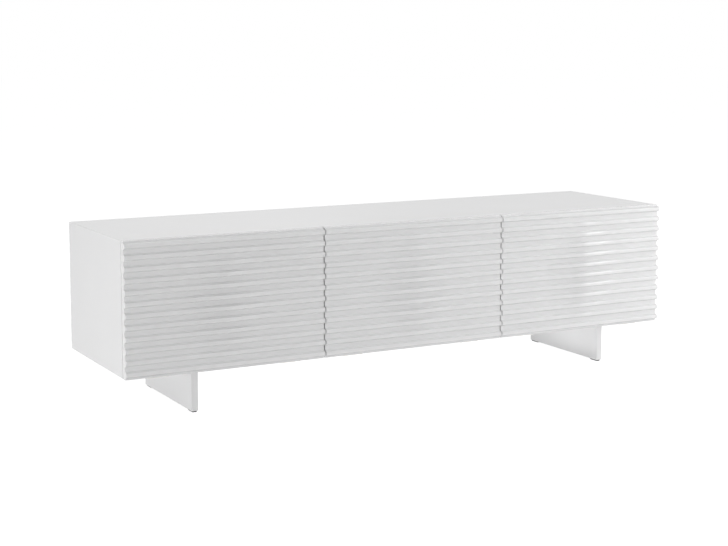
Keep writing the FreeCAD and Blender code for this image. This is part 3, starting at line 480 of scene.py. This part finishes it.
RING_FLANGE = 0.006     # how far a cable ring's flange laps over its hole
RING_PLAY = 0.0002
RING_WALL = 0.003
rings_low, rings_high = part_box("cable_grommets")
ring_bm = bmesh.new()
for bay in BAYS:
    low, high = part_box("back_panel_" + bay)
    shelf_low, shelf_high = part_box("shelf_" + bay)
    x = (shelf_low.x + shelf_high.x) / 2
    z = (rings_low.z + rings_high.z) / 2
    rim = (rings_high.z - rings_low.z) / 2
    hole = rim - RING_FLANGE
    panel = plain_board("back_panel_" + bay, INNER, 0.0004)
    through = high.y - low.y + CUTTER_STUB
    carve(panel, [round_cutter((x, high.y, z), (0, -1, 0), hole, through, 0.0004, 96)])
    thick = rings_high.y - high.y
    depth = high.y - rings_low.y
    wall = hole - RING_PLAY
    inner = wall - RING_WALL
    outline = rounded([
        (inner, -depth), (wall, -depth), (wall, 0), (rim, 0), (rim, thick),
        (inner, thick),
    ], [0.0004, 0.0006, 0.0002, 0.0003, 0.0012, 0.0018])
    lathe(ring_bm, [(p.x, p.y) for p in outline], (x, high.y, z), (0, 1, 0), 96)
finish_piece("cable_rings", ring_bm, ["cable_grommets"], WHITE_PLASTIC)

# ------------------------------------------------------------------ legs and glides

glide_low, glide_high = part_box("leg_glides")
glide_bm = bmesh.new()
GLIDE_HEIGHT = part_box("leg_left")[0].z
GLIDE_LENGTH = 0.040
GLIDE_HALF_WIDTH = 0.0075
for node in ("leg_left", "leg_right"):
    low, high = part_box(node)
    finish_piece(node + "_panel", board(low, high, 0.0009), [node], LACQUER)
    x = (low.x + high.x) / 2
    left, right = x - GLIDE_HALF_WIDTH, x + GLIDE_HALF_WIDTH
    for start in (glide_low.y, glide_high.y - GLIDE_LENGTH):
        end = start + GLIDE_LENGTH
        outline = rounded([(left, start), (right, start), (right, end), (left, end)], 0.003, 5)
        loops = [[(p.x, p.y, z) for p in inset(outline, amount)]
                 for z, amount in soft_ends(0.0, GLIDE_HEIGHT, 0.0008)]
        skin(glide_bm, loops)
finish_piece("nylon_glides", glide_bm, ["leg_glides"], BLACK)

# ------------------------------------------------------------------ ribbed doors

RIB_COUNT = 12
RIB_FIRST = 0.0045      # from the door's top edge to the first rib
RIB_PITCH = 0.0354
RIB_HEIGHT = 0.0120
LEDGE = 0.0040          # drop of the steep top of a rib, its crown and its underside
CROWN = 0.0115
UNDER = 0.0050
CROWN_EDGE = 0.0008     # how far a crown's edges lie behind its middle
SWELL = 0.0080          # how much more the ribs stand out at the middle of a door
SWELL_REACH = 0.180     # half width of the swelling on the middle ribs
SWELL_RISE = 0.190      # height above and below the middle where it fades out
SWELL_FALL = 1.2        # share of the height that a straight slope would lose over the reach
SWELL_FOOT = 2 / 3      # share of the reach at which the slope starts to ease off
FOOT_CURVE = 1.8        # makes the foot meet the slope there at the same height and angle
STATION = 0.010         # spacing of a door's cross sections
DOOR_ARRIS = 0.0005


def swelling(x, z):
    """Extra height of a rib at x and z from the middle of its door.

    It is a shallow roof with a crisp ridge at x = 0, whose slopes ease off at their feet.
    """
    share = 1 - (z / SWELL_RISE) ** 2
    out = abs(x) / (SWELL_REACH * share)
    if out < SWELL_FOOT:
        return SWELL * share * (1 - SWELL_FALL * out)
    return SWELL * share * FOOT_CURVE * max(0.0, 1 - out) ** 2


def rib_outline(x, height):
    """Front of a door at x: (depth, drop from the top) points, from the top down."""
    corners = [(0.0, 0.0)]
    radii = [ARRIS]
    for rib in range(RIB_COUNT):
        top = RIB_FIRST + rib * RIB_PITCH
        middle = height / 2 - (top + LEDGE + CROWN / 2)
        tall = swelling(x, middle) if 0 < rib < RIB_COUNT - 1 else 0.0
        edge = RIB_HEIGHT - CROWN_EDGE + tall
        corners += [
            (0.0, top), (edge, top + LEDGE), (RIB_HEIGHT + tall, top + LEDGE + CROWN / 2),
            (edge, top + LEDGE + CROWN), (0.0, top + LEDGE + CROWN + UNDER),
        ]
        radii += [0.0006, 0.0006, 0.0300, 0.0007, 0.0010]
    return corners, radii


def door_loop(x, height, thick):
    """Closed outline of the door at x, as (depth, drop) points."""
    corners, radii = rib_outline(x, height)
    corners += [(0.0, height), (-thick, height), (-thick, 0.0)]
    radii += [ARRIS, ARRIS, ARRIS]
    return rounded(corners, radii)


def door_mesh(bay):
    """Ribbed door swept from one side to the other, in step with its swelling."""
    node = "door_panel_" + bay
    low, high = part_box(node)
    height = high.z - low.z
    hollow = low.y + RIB_HEIGHT + SWELL
    thick = high.y - hollow
    middle = (low.x + high.x) / 2
    half = (high.x - low.x) / 2
    last = int((half - 0.004) / STATION)
    places = [k * STATION for k in range(-last, last + 1)]
    ends = soft_ends(-half, half, DOOR_ARRIS)
    stations = ends[:4] + [(p, 0.0) for p in places] + ends[4:]
    bm = bmesh.new()
    loops = []
    for x, amount in stations:
        loop = door_loop(x, height, thick)
        if amount > 0:
            loop = inset(loop, amount)
        loops.append([(middle + x, hollow - p.x, high.z - p.y) for p in loop])
    skin(bm, loops)
    return finish_piece("ribbed_door_" + bay, bm, [node], DOOR_LACQUER, sharp=50)


for bay in BAYS:
    door_mesh(bay)

# ------------------------------------------------------------------ finish of the other pieces

for node, item in frame["nodes"].items():
    item.data.materials.clear()
    item.data.materials.append(SLOTS[SLOT_OF[node]])

# ------------------------------------------------------------------ floor, light and camera

SHADOW = 0.42           # how much of the floor's white comes from the lamps, so shadows show
GLOW = 0.90             # and how much it has by itself
BOUNCE = 0.9            # what the floor is to the light that it sends back to the object
FLOOR_SIDES = 48
FLOOR_RADII = (3.0, 30.0)
FLOOR_DROP = 0.0002     # keeps the floor just under the glides
CARD_HEIGHT = 0.004


def seen_directly(tree):
    """1 for what the camera sees, straight or in a reflection or through glass."""
    rays = tree.nodes.new("ShaderNodeLightPath")
    total = rays.outputs["Is Camera Ray"]
    for name in ("Is Glossy Ray", "Is Transmission Ray"):
        either = tree.nodes.new("ShaderNodeMath")
        either.operation = "MAXIMUM"
        tree.links.new(total, either.inputs[0])
        tree.links.new(rays.outputs[name], either.inputs[1])
        total = either.outputs["Value"]
    return total


def pick_shader(tree, unseen, seen, socket):
    """Sends one shader to the camera and another to everything the light reaches."""
    pick = tree.nodes.new("ShaderNodeMixShader")
    tree.links.new(seen_directly(tree), pick.inputs["Fac"])
    tree.links.new(unseen, pick.inputs[1])
    tree.links.new(seen, pick.inputs[2])
    tree.links.new(pick.outputs["Shader"], socket)


def floor_material():
    """Pale floor: plain white to the camera apart from the object's own shadow."""
    mat = bpy.data.materials.new("studio_floor")
    mat.use_nodes = True
    tree = mat.node_tree
    tree.nodes.clear()
    out = tree.nodes.new("ShaderNodeOutputMaterial")
    matt = tree.nodes.new("ShaderNodeBsdfDiffuse")
    matt.inputs["Color"].default_value = (SHADOW, SHADOW, SHADOW, 1)
    glow = tree.nodes.new("ShaderNodeEmission")
    glow.inputs["Strength"].default_value = GLOW
    both = tree.nodes.new("ShaderNodeAddShader")
    tree.links.new(matt.outputs["BSDF"], both.inputs[0])
    tree.links.new(glow.outputs["Emission"], both.inputs[1])
    plain = tree.nodes.new("ShaderNodeBsdfDiffuse")
    plain.inputs["Color"].default_value = (BOUNCE, BOUNCE, BOUNCE, 1)
    pick_shader(tree, plain.outputs["BSDF"], both.outputs["Shader"], out.inputs["Surface"])
    return mat


def make_floor():
    bm = bmesh.new()
    rings = []
    for radius in FLOOR_RADII:
        rings.append([bm.verts.new((radius * math.cos(a), radius * math.sin(a), 0.0))
                      for a in circle(FLOOR_SIDES)])
    bm.faces.new(rings[0])
    for k in range(FLOOR_SIDES):
        j = (k + 1) % FLOOR_SIDES
        bm.faces.new((rings[0][k], rings[1][k], rings[1][j], rings[0][j]))
    mesh = bpy.data.meshes.new("studio_floor")
    bm.to_mesh(mesh)
    bm.free()
    mesh.materials.append(floor_material())
    floor = bpy.data.objects.new("studio_floor", mesh)
    floor.location.z = -FLOOR_DROP
    bpy.context.scene.collection.objects.link(floor)


def make_world(ambient):
    """Plain white surroundings: dim as light, white to the camera."""
    world = bpy.data.worlds.new("studio")
    bpy.context.scene.world = world
    world.use_nodes = True
    tree = world.node_tree
    tree.nodes.clear()
    out = tree.nodes.new("ShaderNodeOutputWorld")
    light = tree.nodes.new("ShaderNodeBackground")
    light.inputs["Color"].default_value = (1, 1, 1, 1)
    light.inputs["Strength"].default_value = ambient
    white = tree.nodes.new("ShaderNodeBackground")
    white.inputs["Color"].default_value = (1, 1, 1, 1)
    white.inputs["Strength"].default_value = 1.0
    pick_shader(tree, light.outputs["Background"], white.outputs["Background"],
                out.inputs["Surface"])


def soft_box(name, place, target, width, height, power):
    """Rectangular lamp at a place, aimed at a target, that the camera doesn't see."""
    lamp = bpy.data.lights.new(name, "AREA")
    lamp.shape = "RECTANGLE"
    lamp.size = width
    lamp.size_y = height
    lamp.energy = power
    item = bpy.data.objects.new(name, lamp)
    item.location = place
    way = Vector(target) - Vector(place)
    item.rotation_euler = way.to_track_quat("-Z", "Y").to_euler()
    item.visible_camera = False
    bpy.context.scene.collection.objects.link(item)
    return item


def flag(lamp, piece):
    """Keeps a lamp off one piece, as a black card beside the lamp would.

    The low lamp at the right gives the ribs their shading, and would clip the side panel
    next to it to white.
    """
    shaded = bpy.data.collections.new(lamp.name + "_flag")
    shaded.objects.link(piece)
    lamp.light_linking.receiver_collection = shaded
    shaded.collection_objects[0].light_linking.link_state = "EXCLUDE"


def floor_card(name, place, width, depth, power):
    """Glowing card on the floor that faces up."""
    item = soft_box(name, (*place, CARD_HEIGHT), (*place, 1.0), width, depth, power)
    item.rotation_euler = (math.pi, 0.0, 0.0)


def make_camera():
    """Standing to the left of the front, looking slightly down along the doors."""
    data = bpy.data.cameras.new("camera")
    data.sensor_width = 36.0
    data.lens = 75.16
    data.shift_y = -0.1003
    camera = bpy.data.objects.new("camera", data)
    camera.location = (-2.4781, -4.5073, 1.1751)
    yaw, pitch = math.radians(28.26), math.radians(6.44)
    camera.rotation_euler = (math.pi / 2 - pitch, 0.0, -yaw)
    bpy.context.scene.collection.objects.link(camera)
    bpy.context.scene.camera = camera


make_floor()
make_world(0.24)
soft_box("overhead", (-0.8, 0.7, 3.4), (-0.5, 0.1, 0.5), 4.0, 2.4, 26.0)
soft_box("over_front", (-0.3, -1.4, 3.05), (-0.1, -0.25, 0.4), 4.0, 0.9, 8.0)
soft_box("over_front_right", (2.6, -2.1, 2.2), (0.8, -0.25, 0.4), 3.0, 1.8, 46.0)
soft_box("left_low", (-4.2, -0.9, 0.32), (-0.7, 0.0, 0.1), 2.2, 0.5, 53.0)
grazing = soft_box("right_grazing", (4.2, -1.2, 0.4), (0.0, -0.3, 0.3), 0.9, 0.7, 46.0)
flag(grazing, side_right)
soft_box("right_far", (8.43, -5.9, 0.9), (0.5, -0.25, 0.3), 4.0, 1.8, 230.0)
soft_box("back_high", (0.4, 3.8, 3.0), (0.0, 0.3, 0.3), 3.0, 1.2, 30.0)
floor_card("under_case", (0.0, 0.0), 1.3, 0.36, 1.5)
make_camera()
bpy.context.scene.view_settings.view_transform = "Standard"
